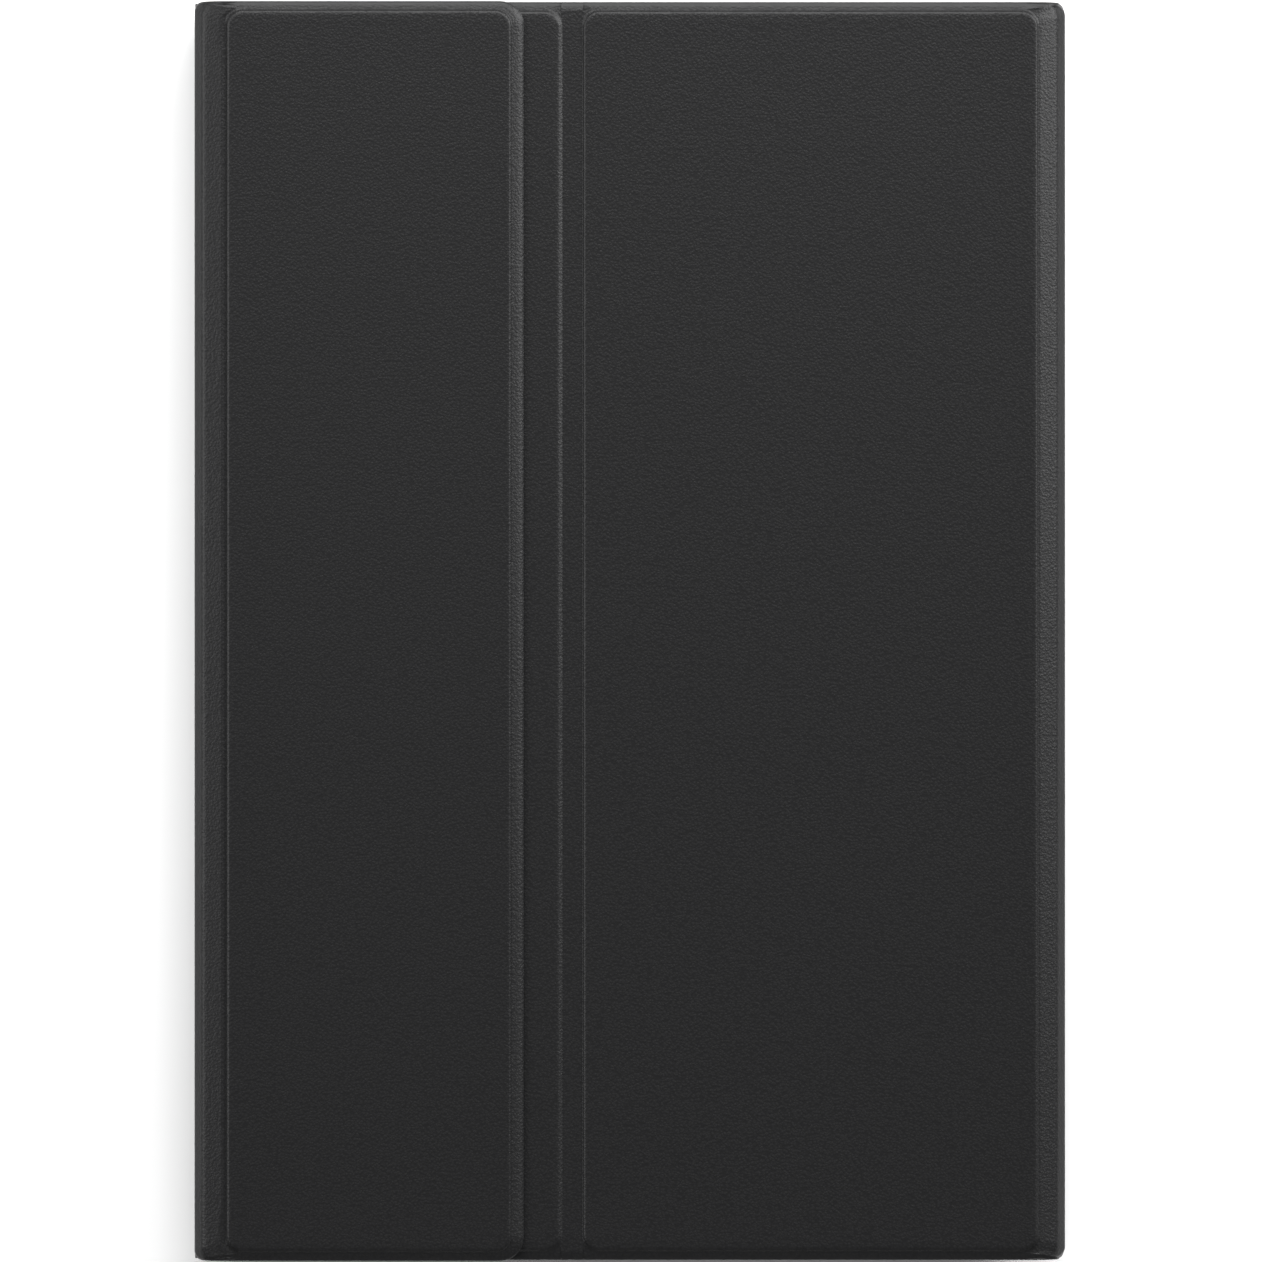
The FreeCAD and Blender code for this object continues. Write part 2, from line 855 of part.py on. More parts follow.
def make_inner_parts():
    """Battery at the left of the touchpad, circuit board and socket at the right."""
    front = deck_front + " + touchpad_front"
    beside = "touchpad_length / 2 + 6"
    finish(
        box(
            "keyboard_battery",
            ("-(" + beside + ") - battery_length", "-(" + beside + ")"),
            (front, front + " + battery_depth"),
            (tray_top, tray_top + " + battery_thick"),
        )
    )
    board_ends = beside, "-(" + deck_end + ") - tray_wall - port_depth - 1"
    board_levels = tray_top + " + 0.3", tray_top + " + 0.3 + circuit_thick"
    finish(
        box("main_circuit_board", board_ends, (front, front + " + battery_depth"), board_levels)
    )
    finish(
        box(
            "radio_module",
            (beside + " + 4", beside + " + 18"),
            (front + " + 26", front + " + 38"),
            (board_levels[1], board_levels[1] + " + 1.6"),
        )
    )
    wall = "-(" + deck_end + ")"
    levels = tray_top + " + 0.1", tray_top + " + 0.1 + port_height"
    body = box("port_block", (wall + " - port_depth", wall), port_lines(), levels)
    low, high = port_lines()
    hollow = box(
        "port_hollow",
        (wall + " - port_depth + port_metal", wall),
        (low + " + port_metal", high + " - port_metal"),
        (levels[0] + " + port_metal", levels[1] + " - port_metal"),
    )
    finish(cut("charging_socket", body, hollow))
    magnets = []
    for side, x in (("left", "-100 - magnet_length / 2"), ("right", "100 - magnet_length / 2")):
        ends = x, x + " + magnet_length"
        fronts = deck_front + " + tray_wall + 0.4", deck_front + " + tray_wall + 4.4"
        heights = tray_top, tray_top + " + 2"
        magnets.append(box("closing_magnet_" + side, ends, fronts, heights))
    finish(group("keyboard_magnets", magnets))


# ---- tablet shell ----------------------------------------------------------


def make_shell():
    """Soft tray for the tablet, open towards the keyboard."""
    inner_end = "-tablet_length / 2"
    inner_lines = shell_front + " + shell_wall", shell_rear + " - shell_wall"
    block = plate(
        "shell_block",
        centred(shell_end),
        (shell_front, shell_rear),
        (shell_under, shell_top),
        "tablet_corner + shell_wall",
    )
    room = plate(
        "shell_room",
        centred(inner_end),
        inner_lines,
        (tablet_under, tablet_top),
        "tablet_corner",
    )
    mouth = plate(
        "shell_mouth",
        centred(inner_end + " + lip_reach"),
        (inner_lines[0] + " + lip_reach", inner_lines[1] + " - lip_reach"),
        (shell_under, tablet_under),
        "tablet_corner - lip_reach",
    )
    slot_low = tablet_under + " + tablet_thick / 2 - slot_height / 2"
    slot_levels = slot_low, slot_low + " + slot_height"
    middle = "(" + shell_front + " + " + shell_rear + ") / 2"
    plug = box(
        "shell_plug_slot",
        ("tablet_length / 2 - 1", "tablet_length / 2 + shell_wall"),
        (middle + " - port_slot_length / 2", middle + " + port_slot_length / 2"),
        slot_levels,
    )
    buttons = box(
        "shell_button_slot",
        ("-tablet_length / 2 + 20", "-tablet_length / 2 + 20 + button_slot_length"),
        (shell_front, shell_front + " + shell_wall + 1"),
        slot_levels,
    )
    keeper_low = shell_top + " - keeper_thick"
    magnet_line = stand_board_front + " + magnet_from_edge"
    keepers = magnet_row(
        "shell_keepers", stand_magnet_count, magnet_line, keeper_low, "keeper_thick"
    )
    hollows = join("shell_hollows", [room, mouth, plug, buttons])
    opened = cut("shell_open", block, hollows)
    finish(cut("tablet_shell", opened, keepers))
    finish(keepers)


def check_and_export():
    doc.recompute()
    for item in doc.Objects:
        if {"Invalid", "Error"} & set(item.State):
            raise RuntimeError("broken: " + item.Label)
    os.makedirs("parts", exist_ok=True)
    for item in finished:
        if item.Shape.isNull() or not item.Shape.isValid():
            raise RuntimeError("bad shape: " + item.Label)
        item.Shape.exportStep("parts/" + item.Label + ".step")


fill_sheet()
make_cover()
make_tray()
make_deck()
make_keys()
make_touchpad()
make_power_switch()
make_inner_parts()
make_spine()
make_creases()
make_shell()
make_back_panel()
make_stand()
make_flap()
check_and_export()
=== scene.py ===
import bpy
import json
import math
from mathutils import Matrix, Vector


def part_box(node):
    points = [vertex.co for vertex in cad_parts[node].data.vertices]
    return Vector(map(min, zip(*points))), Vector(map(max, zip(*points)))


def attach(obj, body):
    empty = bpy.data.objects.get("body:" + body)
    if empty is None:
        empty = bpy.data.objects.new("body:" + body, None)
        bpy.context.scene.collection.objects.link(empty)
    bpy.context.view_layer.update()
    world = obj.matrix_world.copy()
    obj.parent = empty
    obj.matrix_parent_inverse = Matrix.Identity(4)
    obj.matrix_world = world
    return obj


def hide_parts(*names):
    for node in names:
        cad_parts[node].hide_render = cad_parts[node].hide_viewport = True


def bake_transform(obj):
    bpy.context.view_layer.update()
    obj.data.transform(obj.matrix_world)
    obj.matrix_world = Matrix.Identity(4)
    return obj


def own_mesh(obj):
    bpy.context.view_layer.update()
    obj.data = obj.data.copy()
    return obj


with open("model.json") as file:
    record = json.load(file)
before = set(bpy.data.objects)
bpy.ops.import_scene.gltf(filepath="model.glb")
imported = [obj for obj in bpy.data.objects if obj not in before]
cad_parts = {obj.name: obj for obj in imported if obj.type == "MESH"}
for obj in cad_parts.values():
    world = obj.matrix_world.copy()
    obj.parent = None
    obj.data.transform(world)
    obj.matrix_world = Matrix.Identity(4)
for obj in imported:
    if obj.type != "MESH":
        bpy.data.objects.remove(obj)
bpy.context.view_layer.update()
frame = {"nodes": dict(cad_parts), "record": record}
mm = 0.001
print("frame loaded")


shapeLook = {
    "sharpFrom": 50,
    "leastRadius": 0.04,
    "endSteps": [(0, 0.9), (0.15, 0.97), (0.5, 1)],
}


def makeObject(name, points, faces, material, smooth=True):
    mesh = bpy.data.meshes.new(name)
    mesh.from_pydata([Vector(p) * mm for p in points], [], faces)
    mesh.materials.append(material)
    for face in mesh.polygons:
        face.use_smooth = smooth
    mesh.set_sharp_from_angle(angle=math.radians(shapeLook["sharpFrom"]))
    obj = bpy.data.objects.new(name, mesh)
    bpy.context.collection.objects.link(obj)
    return obj


def nodeBox(name):
    low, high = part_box(name)
    return Vector(low) / mm, Vector(high) / mm


def mix(a, b, share):
    return a + (b - a) * share


def resample(points, count):
    # evenly spaced points along a line, ends kept
    lengths = [0]
    for p, q in zip(points, points[1:]):
        lengths.append(lengths[-1] + math.dist(p, q))
    out = []
    part = 0
    for i in range(count):
        target = lengths[-1] * i / (count - 1)
        while part < len(points) - 2 and lengths[part + 1] < target:
            part += 1
        span = lengths[part + 1] - lengths[part] or 1
        share = (target - lengths[part]) / span
        out.append(tuple(mix(a, b, share) for a, b in zip(points[part], points[part + 1])))
    return out


def soften(points, rounds=2):
    # rounds off a line of points, ends kept
    for _ in range(rounds):
        out = [points[0]]
        for p, q in zip(points, points[1:]):
            out.append(tuple(mix(a, b, 0.25) for a, b in zip(p, q)))
            out.append(tuple(mix(a, b, 0.75) for a, b in zip(p, q)))
        points = out + [points[-1]]
    return points


def ringPoints(x, front, rear, radii, counts):
    # one closed ring of (x, y, share), anticlockwise from above
    # share is 1 at the two ends of the case and 0 at its front and rear
    frontRadius, rearRadius = (max(r, shapeLook["leastRadius"]) for r in radii)
    across, deep, arc = counts
    points = []

    def line(p, q, count, share):
        for i in range(count):
            step = (1 - math.cos(math.pi * i / count)) / 2
            points.append((mix(p[0], q[0], step), mix(p[1], q[1], step), share))

    def corner(cx, cy, r, turn, rising):
        for i in range(arc):
            a = math.radians(turn + 90 * i / arc)
            share = math.sin(math.pi / 2 * i / arc) ** 2
            points.append((cx + r * math.cos(a), cy + r * math.sin(a), share if rising else 1 - share))

    frontX, rearX = x - frontRadius, x - rearRadius
    frontY, rearY = front + frontRadius, rear - rearRadius
    line((-frontX, front), (frontX, front), across, 0)
    corner(frontX, frontY, frontRadius, -90, True)
    line((x, frontY), (x, rearY), deep, 1)
    corner(rearX, rearY, rearRadius, 0, False)
    line((rearX, rear), (-rearX, rear), across, 0)
    corner(-rearX, rearY, rearRadius, 90, True)
    line((-x, rearY), (-x, frontY), deep, 1)
    corner(-frontX, frontY, frontRadius, 180, False)
    return points


def tubeFaces(rows, count):
    # faces of a closed tube with flat ends, whose rows hold count points each
    faces = [list(range(count))[::-1]]
    for i in range(rows - 1):
        for k in range(count):
            a, b = i * count + k, i * count + (k + 1) % count
            faces.append([a, b, b + count, a + count])
    faces.append([(rows - 1) * count + k for k in range(count)])
    return faces


def loft(rings):
    # points and faces of a closed form through rings that run from its bottom to its top
    return [p for ring in rings for p in ring], tubeFaces(len(rings), len(rings[0]))


def extrude(section, half, count):
    # a closed section of (y, z) pairs carried along x, with its ends drawn in a little
    middle = sum(z for y, z in section) / len(section)
    steps = shapeLook["endSteps"]
    inset = steps[-1][0]
    stations = [(near - half, share) for near, share in steps]
    stations += [(mix(inset - half, half - inset, i / count), 1) for i in range(1, count)]
    stations += [(half - near, share) for near, share in steps[::-1]]
    points = [(x, y, mix(middle, z, share)) for x, share in stations for y, z in section]
    return points, tubeFaces(len(stations), len(section))


def newMaterial(name):
    material = bpy.data.materials.new(name)
    material.use_nodes = True
    nodes = material.node_tree.nodes
    nodes.clear()
    out = nodes.new("ShaderNodeOutputMaterial")
    shader = nodes.new("ShaderNodeBsdfPrincipled")
    material.node_tree.links.new(shader.outputs[0], out.inputs[0])
    return material, shader


def addNode(material, kind, **values):
    node = material.node_tree.nodes.new(kind)
    for name, value in values.items():
        if name in node.inputs:
            node.inputs[name].default_value = value
        else:
            setattr(node, name, value)
    return node


def connect(material, source, target):
    material.node_tree.links.new(source, target)


leatherLook = {
    "dark": (0.0046, 0.0046, 0.0049, 1),
    "light": (0.0074, 0.0074, 0.0077, 1),
    "roughness": 0.42,
    "specular": 0.22,
    "grainSize": 0.5,
    "grainDepth": 0.03,
    "grainSmoothness": 0.35,
    "grainRange": (0.1, 0.75),
    "warpScale": 900,
    "warpDepth": 0.00035,
    "wrinkleSize": 1.1,
    "wrinkleDepth": 0.008,
}


def addBump(material, height, depth, below=None):
    # depth is in millimetres
    bump = addNode(material, "ShaderNodeBump", Strength=1.0, Distance=depth * mm)
    connect(material, height, bump.inputs["Height"])
    if below:
        connect(material, below.outputs[0], bump.inputs["Normal"])
    return bump


def makeLeather():
    look = leatherLook
    material, shader = newMaterial("charcoalLeather")
    where = addNode(material, "ShaderNodeTexCoord").outputs["Object"]
    warp = addNode(material, "ShaderNodeTexNoise", Scale=look["warpScale"], Detail=2.0)
    connect(material, where, warp.inputs["Vector"])
    bent = addNode(material, "ShaderNodeMixRGB", blend_type="LINEAR_LIGHT")
    bent.inputs[0].default_value = look["warpDepth"]
    connect(material, where, bent.inputs[1])
    connect(material, warp.outputs["Color"], bent.inputs[2])
    cells = addNode(material, "ShaderNodeTexVoronoi", feature="SMOOTH_F1")
    cells.inputs["Scale"].default_value = 1000 / look["grainSize"]
    cells.inputs["Smoothness"].default_value = look["grainSmoothness"]
    connect(material, bent.outputs[0], cells.inputs["Vector"])
    dome = addNode(material, "ShaderNodeMapRange")
    dome.inputs["From Min"].default_value, dome.inputs["From Max"].default_value = look["grainRange"]
    dome.inputs["To Min"].default_value = 1
    dome.inputs["To Max"].default_value = 0
    connect(material, cells.outputs["Distance"], dome.inputs["Value"])
    wrinkle = addNode(material, "ShaderNodeTexNoise", Detail=3.0, Roughness=0.55)
    wrinkle.inputs["Scale"].default_value = 1000 / look["wrinkleSize"]
    connect(material, where, wrinkle.inputs["Vector"])
    grain = addBump(material, dome.outputs[0], look["grainDepth"])
    folds = addBump(material, wrinkle.outputs["Fac"], look["wrinkleDepth"], grain)
    connect(material, folds.outputs[0], shader.inputs["Normal"])
    colour = addNode(material, "ShaderNodeMixRGB")
    colour.inputs[1].default_value = look["dark"]
    colour.inputs[2].default_value = look["light"]
    connect(material, dome.outputs[0], colour.inputs[0])
    connect(material, colour.outputs[0], shader.inputs["Base Color"])
    shader.inputs["Roughness"].default_value = look["roughness"]
    shader.inputs["Specular IOR Level"].default_value = look["specular"]
    return material


def makeSimple(name, colour, roughness, metallic=0.0, specular=0.5, grain=None, fade=0.12):
    # plain finish with a little unevenness; grain is a size and a depth in millimetres
    blotch = 6
    material, shader = newMaterial(name)
    where = addNode(material, "ShaderNodeTexCoord")
    noise = addNode(material, "ShaderNodeTexNoise", Detail=3.0)
    noise.inputs["Scale"].default_value = 1000 / (grain[0] if grain else blotch)
    connect(material, where.outputs["Object"], noise.inputs["Vector"])
    shades = addNode(material, "ShaderNodeMixRGB")
    shades.inputs[1].default_value = (*[c * (1 - fade) for c in colour], 1)
    shades.inputs[2].default_value = (*[min(1, c * (1 + fade)) for c in colour], 1)
    connect(material, noise.outputs["Fac"], shades.inputs[0])
    connect(material, shades.outputs[0], shader.inputs["Base Color"])
    if grain:
        bump = addBump(material, noise.outputs["Fac"], grain[1])
        connect(material, bump.outputs[0], shader.inputs["Normal"])
    shader.inputs["Roughness"].default_value = roughness
    shader.inputs["Metallic"].default_value = metallic
    shader.inputs["Specular IOR Level"].default_value = specular
    return material


leather = makeLeather()
lining = makeSimple("microfibre", (0.03, 0.03, 0.032), 0.95, specular=0.2, grain=(0.35, 0.12), fade=0.3)
finishes = {
    "leather": leather,
    "lining": lining,
    "stiffener": makeSimple("fibreBoard", (0.028, 0.027, 0.026), 0.9, grain=(0.8, 0.05)),
    "adhesive": makeSimple("foamSheet", (0.05, 0.05, 0.05), 0.9, grain=(0.3, 0.05)),
    "dark_plastic": makeSimple("deckPlastic", (0.022, 0.022, 0.024), 0.5, grain=(0.25, 0.02)),
    "key_plastic": makeSimple("keyPlastic", (0.016, 0.016, 0.017), 0.46, grain=(0.2, 0.012)),
    "soft_shell": makeSimple("softShell", (0.018, 0.018, 0.019), 0.58, grain=(0.3, 0.015)),
    "rubber": makeSimple("rubber", (0.03, 0.03, 0.03), 0.75, grain=(0.3, 0.02)),
    "metal_plate": makeSimple("stampedSteel", (0.55, 0.55, 0.56), 0.32, metallic=1.0, grain=(1.2, 0.004)),
    "film": makeSimple("polyesterFilm", (0.6, 0.62, 0.64), 0.35, fade=0.04),
    "circuit": makeSimple("circuitBoard", (0.02, 0.11, 0.05), 0.4, fade=0.25),
    "cell_wrap": makeSimple("cellWrap", (0.5, 0.51, 0.54), 0.4, metallic=0.6, fade=0.06),
    "light_window": makeSimple("lightWindow", (0.6, 0.63, 0.66), 0.2, fade=0.03),
    "touch_surface": makeSimple("touchSurface", (0.02, 0.02, 0.022), 0.36, fade=0.05),
    "magnet": makeSimple("coatedMagnet", (0.028, 0.028, 0.03), 0.42, grain=(0.5, 0.01), fade=0.15),
}
ink = makeSimple("legendInk", (0.62, 0.62, 0.63), 0.5, fade=0.02)

for part in frame["record"]["subparts"]:
    node = frame["nodes"][part["node"]]
    node.data.materials.clear()
    node.data.materials.append(finishes[part["material_slot"]])
print("materials made")


# margin is how high the leather lies beside the board, and slope its fall towards the edge
# the rows, the turns and the counts across, deep and arc say how finely a panel is drawn
panelLook = {
    "skin": 0.6,
    "board": 1.2,
    "margin": 1.3,
    "boardCorner": 3.2,
    "boardCornerLeast": 0.3,
    "slope": 0.36,
    "edgeSoftness": 0.5,
    "nose": 0.12,
    "bead": 0.04,
    "footReach": 0.35,
    "creaseShares": (0.6, 0.5),
    "rolledMiddle": (0.4, 0.62),
    "cutMiddle": (0.6, 0.55),
    "endWidth": 2.0,
    "endBoard": 1.8,
    "endSpread": 0.1,
    "across": 60,
    "deep": 36,
    "arc": 8,
    "rollTurns": 12,
    "underRows": 20,
    "edgeRows": 9,
    "overRows": 26,
    "recess": 5,
    "flatRows": (8, 16),
    "flatFrom": 2.4,
    "easing": 5,
    "easingReach": 5,
    "easingRows": 24,
    "easingShare": 0.6,
}

# steps down the chamfer of a rolled edge: shares of the shoulder inwards and below the brow
chamferSteps = [(0, 1.3), (0.02, 1.18), (0.8, 0.25), (1, 0)]

# steps up a cut edge: inwards, with a height from the bottom or down from the top
cutLow = [(0.14, 0.1), (0, 0.3)]
cutHigh = [(0.05, 0.25), (0.28, 0.04)]

# steps up the board line: outwards from it, with a share of the climb or a drop from the top
ridgeClimb = [(0.1, 0.24), (0, 0.46), (-0.12, 0.67), (-0.28, 0.85), (-0.5, 0.95)]
ridgeTop = (-0.9, 0.004)
ridgeFoot = (0.24, 0.02)


def rolledSide(width, foot, roll, lip, shoulder, fall):
    # leather rolled over the edge and down, ending in a lip
    look = panelLook
    margin, soft, nose = look["margin"], look["edgeSoftness"], look["nose"]
    bottom = margin - roll - lip
    brow = margin - fall
    inner = roll - margin
    inside = width - margin
    turns = [math.radians(90 * i / look["rollTurns"]) for i in range(look["rollTurns"] + 1)]
    under = [(-look["skin"], 0)]
    under += [(width - roll + inner * math.sin(a), margin - roll + inner * math.cos(a)) for a in turns]
    under.append((inside, bottom + soft))
    edge = [(inside, bottom + soft), (inside + nose, bottom + nose), (width - margin / 2, bottom)]
    edge += [(width - nose, bottom + nose), (width, bottom + soft)]
    over = [(width, bottom + soft)]
    over += [(width - shoulder * share, brow - shoulder * down) for share, down in chamferSteps]
    inwards, down = look["rolledMiddle"]
    over.append((mix(width - shoulder, foot, inwards), margin - fall * down))
    return under, edge, over


def cutSide(width, slope):
    # leather that ends beside the board, with a rounded upright edge
    look = panelLook
    margin, soft = look["margin"], look["edgeSoftness"]
    under = [(-look["skin"], 0), (width - soft, 0)]
    edge = [(width - soft, 0)] + [(width - inset, height) for inset, height in cutLow]
    edge += [(width - inset, margin - slope - down) for inset, down in cutHigh]
    outwards, down = look["cutMiddle"]
    return under, edge, [edge[-1], (width * outwards, margin - slope * down)]


def sideProfile(width, roll=None, lip=0.0, crease=0.0, shoulder=1.8, fall=0.75, drop=None, ridge=1.0):
    # a side of a panel as runs of (outwards from the board line, height above the underside)
    # under goes out beneath it, edge goes round its rim, and over comes back to the board's top
    look = panelLook
    margin, skin, board = look["margin"], look["skin"], look["board"]
    top = board + skin
    foot = look["footReach"] * ridge + crease * 2
    if roll:
        under, edge, over = rolledSide(width, foot, roll, lip, shoulder, fall)
    else:
        under, edge, over = cutSide(width, look["slope"] if drop is None else drop)
    lowest = margin - look["bead"]
    dips = [crease * share for share in look["creaseShares"]]
    rise = [(foot - crease, lowest - dips[0]), (ridgeFoot[0] * ridge, margin - ridgeFoot[1] - dips[1])]
    rise += [(out * ridge, margin + (top - margin) * share) for out, share in ridgeClimb]
    rise += [(ridgeTop[0] * ridge, top - ridgeTop[1]), (-look["flatFrom"], top)]
    rise += [(-inset, top) for inset in look["flatRows"]]
    recess = [(-skin - look["recess"], board), (-skin, board)]
    return {
        "under": recess + resample(under, look["underRows"]),
        "edge": resample(soften(edge), look["edgeRows"])[1:],
        "over": resample(soften(over + [(foot, lowest)]), look["overRows"])[1:] + rise,
    }


def heightAt(run, out):
    # height at one distance outwards, of a run that starts nearest the board
    for (near, low), (far, high) in zip(run, run[1:]):
        if near <= out <= far and far > near:
            return mix(low, high, (out - near) / (far - near))
    return run[-1][1] if out > run[-1][0] else run[0][1]


def cornerRadius(out, width, outer):
    # outer radius at the leather edge, the board's own radius over the board
    inner = panelLook["boardCorner"]
    if out <= 0:
        return max(inner + out, panelLook["boardCornerLeast"])
    return mix(inner, outer, min(1, out / width))


def easeCorners(rings, first, last):
    # evens out the heights where the slopes of two sides meet
    look = panelLook
    count = len(rings[0])
    across, deep, arc = look["across"], look["deep"], look["arc"]
    half = across + deep + 2 * arc
    starts = [across, half - arc, half + across, count - arc]
    reach = range(-look["easingReach"], arc + look["easingReach"] + 1)
    spots = sorted({(start + k) % count for start in starts for k in reach})
    for _ in range(look["easing"]):
        heights = [[p[2] for p in ring] for ring in rings]
        for i in range(first, last):
            for k in spots:
                beside = heights[i][k - 1] + heights[i][(k + 1) % count]
                near = (beside + heights[i - 1][k] + heights[i + 1][k]) / 4
                x, y, z = rings[i][k]
                rings[i][k] = (x, y, mix(z, near, look["easingShare"]))


def makePanel(name, half, boardLines, base, sides, corners, upside=1):
    # half holds the half lengths to the leather edge and to the board
    # sides are the profiles at the front, the ends and the rear, and corners the outer radii
    front, rear = boardLines
    look = panelLook
    profiles = [side["under"] + side["edge"] + side["over"] for side in sides]
    counts = look["across"], look["deep"], look["arc"]
    rings = []
    for atFront, atEnd, atRear in zip(*profiles):
        radii = [cornerRadius(atEnd[0], half[0] - half[1], corner) for corner in corners]
        spread = half[1] + atEnd[0], front - atFront[0], rear + atRear[0]
        ring = []
        for x, y, share in ringPoints(*spread, radii, counts):
            if y < (front + rear) / 2:
                own, side, out = atFront[1], sides[0], front - y
            else:
                own, side, out = atRear[1], sides[2], y - rear
            height = atEnd[1]
            if out > 0:
                low = heightAt(side["under"], out)
                high = heightAt(side["over"][::-1], out)
                height = mix(low, high, atEnd[1] / look["margin"])
            ring.append((x, y, base + upside * mix(own, height, share)))
        rings.append(ring)
    first = len(sides[1]["under"] + sides[1]["edge"]) + 1
    easeCorners(rings, first, first + look["easingRows"])
    points, faces = loft(rings)
    if upside < 0:
        faces = [face[::-1] for face in faces]
    obj = makeObject(name, points, faces, leather)
    return obj


def skinLine(board, rear=False):
    # where the leather turns up round a board at its front or rear
    low, high = nodeBox(board)
    return high.y + panelLook["skin"] if rear else low.y - panelLook["skin"]


endSide = sideProfile(panelLook["endWidth"])
spineLow, spineHigh = nodeBox("spine_skin")

flapSize = {"roll": 5.1, "drop": 0.75, "crease": 0.3, "fall": 0.9, "corners": (4.8, 1.2), "shorter": 0.07}
flapLow, flapHigh = nodeBox("flap_skin")
flapFront, flapRear = skinLine("flap_board"), skinLine("flap_board", rear=True)
endHalf = flapHigh.x
boardHalf = endHalf - panelLook["endBoard"]
flapLeather = makePanel(
    "flapLeather",
    (endHalf - flapSize["shorter"], boardHalf),
    (flapFront, flapRear),
    flapLow.z,
    (
        sideProfile(flapFront - flapLow.y, drop=flapSize["drop"]),
        endSide,
        sideProfile(
            spineHigh.y - flapRear, flapSize["roll"], crease=flapSize["crease"], fall=flapSize["fall"]
        ),
    ),
    flapSize["corners"],
)
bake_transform(flapLeather)
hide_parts("flap_skin", "top_crease_leather")

backSize = {"front": 1.1, "drop": 0.5, "ridge": 1.7, "corners": (0.3, 2.5)}
backLow, backHigh = nodeBox("back_panel_skin")
backPanelLeather = makePanel(
    "backPanelLeather",
    (endHalf + panelLook["endSpread"], boardHalf),
    (backLow.y, backHigh.y - panelLook["endWidth"]),
    backLow.z,
    (sideProfile(backSize["front"], drop=backSize["drop"], ridge=backSize["ridge"]), endSide, endSide),
    backSize["corners"],
)
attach(backPanelLeather, "tablet_holder")
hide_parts("back_panel_skin")

standSize = {"roll": 4.45, "lip": 2.8, "fall": 1.35, "rear": 1.1, "drop": 0.5, "corners": (1.2, 0.3)}
standLow, standHigh = nodeBox("stand_skin")
standBase = nodeBox("stand_board")[0].z
standFront = skinLine("stand_board")
standLeather = makePanel(
    "standLeather",
    (endHalf + panelLook["endSpread"], boardHalf),
    (standFront, standHigh.y),
    standBase,
    (
        sideProfile(standFront - standLow.y, standSize["roll"], standSize["lip"], fall=standSize["fall"]),
        endSide,
        sideProfile(standSize["rear"], drop=standSize["drop"]),
    ),
    standSize["corners"],
)
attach(standLeather, "stand")
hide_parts("stand_skin")

coverSize = {"roll": 4.45, "corners": (2.2, 1.2)}
coverLow, coverHigh = nodeBox("keyboard_cover_skin")
coverRear = skinLine("keyboard_cover_board", rear=True)
coverLeather = makePanel(
    "coverLeather",
    (coverHigh.x, coverHigh.x - panelLook["endWidth"]),
    (coverLow.y + panelLook["endWidth"], coverRear),
    coverHigh.z,
    (endSide, endSide, sideProfile(spineHigh.y - coverRear, coverSize["roll"])),
    coverSize["corners"],
    upside=-1,
)
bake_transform(coverLeather)
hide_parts("keyboard_cover_skin", "base_crease_leather")
print("leather panels made")


spineSize = {
    "overlap": 2.6,
    "corner": 0.2,
    "softness": 0.05,
    "crown": 0.02,
    "tailGap": 0.1,
    "tailLean": 0.16,
    "tailThick": 1.0,
    "tailTaper": 0.1,
    "steps": 8,
    "tailSteps": 4,
    "along": 60,
}


def spineSection():
    # up the outside, round a tail that laps inside the flap's crease, and down the inside
    size = spineSize
    outer, inner = spineHigh.y, spineLow.y
    low, high = spineLow.z, spineHigh.z
    corner, soft, crown = size["corner"], size["softness"], size["crown"]
    steps = range(1, size["steps"])
    tail = size["tailSteps"]
    section = [(inner, low), (mix(inner, outer, 0.5), low - crown)]
    section += [(outer - soft, low), (outer, low + corner)]
    section += [(outer, mix(low, high, i / size["steps"])) for i in steps]
    section += [(outer, high - corner), (outer - 2 * soft, high - crown), (inner + 2 * soft, high + soft)]
    for i in range(1, tail + 1):
        lean = size["tailLean"] * i * i / tail
        section.append((inner - size["tailGap"] - lean, high + size["overlap"] * i / tail))
    for i in range(tail):
        back = inner - size["tailThick"] - size["tailTaper"] * i
        section.append((back, high + size["overlap"] * (1 - i / tail)))
    section += [(inner, mix(high, low, i / size["steps"])) for i in steps]
    return section


points, faces = extrude(spineSection(), endHalf, spineSize["along"])
spineLeather = makeObject("spineLeather", points, faces, leather)
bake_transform(spineLeather)
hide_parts("spine_skin")

gutterSize = {"thick": 0.85, "leastThick": 0.05, "below": 0.02, "tuck": 0.12, "along": 60, "steps": 12}
gutterLow, gutterHigh = nodeBox("stand_crease_leather")


def gutterShape():
    # a strip level with the margins beside it, which slopes down with them at both ends
    size = gutterSize
    front, rear = gutterLow.y + size["tuck"], gutterHigh.y - size["tuck"]
    level = panelLook["margin"] - size["below"]
    slope = [p for p in endSide["edge"][1:] + endSide["over"] if p[0] > panelLook["footReach"]]
    places = [mix(-boardHalf, boardHalf, i / size["along"]) for i in range(size["along"] + 1)]
    stations = [(-boardHalf - out, height) for out, height in slope]
    stations += [(x, level) for x in places]
    stations += [(boardHalf + out, height) for out, height in slope[::-1]]
    widths = [mix(rear, front, i / size["steps"]) for i in range(size["steps"] + 1)]
    points = []
    for x, height in stations:
        bottom = min(level - size["thick"], height - size["leastThick"])
        points += [(x, y, standBase + height) for y in widths]
        points += [(x, y, standBase + bottom) for y in widths[::-1]]
    return points, tubeFaces(len(stations), 2 * len(widths))


points, faces = gutterShape()
gutterLeather = makeObject("gutterLeather", points, faces, leather)
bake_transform(gutterLeather)
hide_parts("stand_crease_leather")
print("spine and gutter made")


